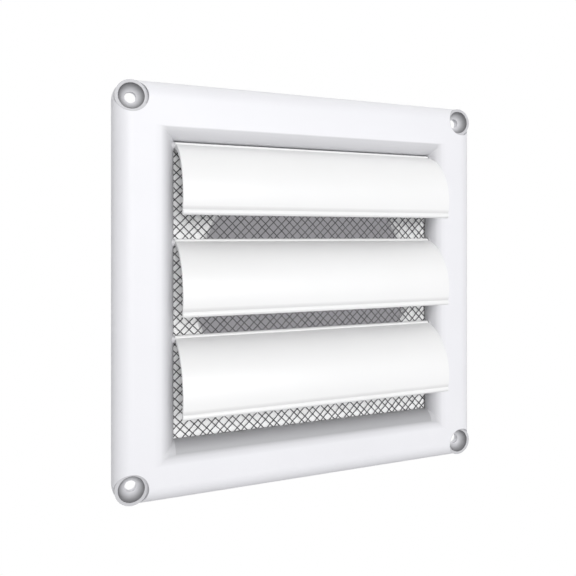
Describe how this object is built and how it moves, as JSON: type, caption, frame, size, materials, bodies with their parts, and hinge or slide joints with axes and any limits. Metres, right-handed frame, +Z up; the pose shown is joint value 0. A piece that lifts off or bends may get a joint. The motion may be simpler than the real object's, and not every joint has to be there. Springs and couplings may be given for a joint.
{
  "type": "dryer vent cover",
  "caption": "Square wall vent cover with curved louvre flaps hinged over a diagonal insect screen, and a round duct collar behind.",
  "frame": {"origin": "centre of the duct collar on the wall plane, which is the frame's flat back", "axes": "+X to the right seen from the front, +Y into the wall along the collar, +Z up"},
  "size_m": [0.16, 0.0512, 0.16],
  "materials": {
    "white_plastic": "satin moulded white",
    "screen_wire": "dark woven wire"
  },
  "bodies": {
    "housing": {"front_frame": "white_plastic", "rear_plate": "white_plastic", "insect_screen": "screen_wire"},
    "top_flap": {"flap_top": "white_plastic"},
    "middle_flap": {"flap_middle": "white_plastic"},
    "bottom_flap": {"flap_bottom": "white_plastic"}
  },
  "joints": [
    {"name": "top_flap_hinge", "type": "hinge", "parent": "housing", "child": "top_flap", "pos_m": [0, -0.0046, 0.0555], "axis": [-1, 0, 0], "range_deg": [-30, 34]},
    {"name": "middle_flap_hinge", "type": "hinge", "parent": "housing", "child": "middle_flap", "pos_m": [0, -0.0046, 0.0185], "axis": [-1, 0, 0], "range_deg": [-30, 34]},
    {"name": "bottom_flap_hinge", "type": "hinge", "parent": "housing", "child": "bottom_flap", "pos_m": [0, -0.0046, -0.0185], "axis": [-1, 0, 0], "range_deg": [-30, 34]}
  ]
}
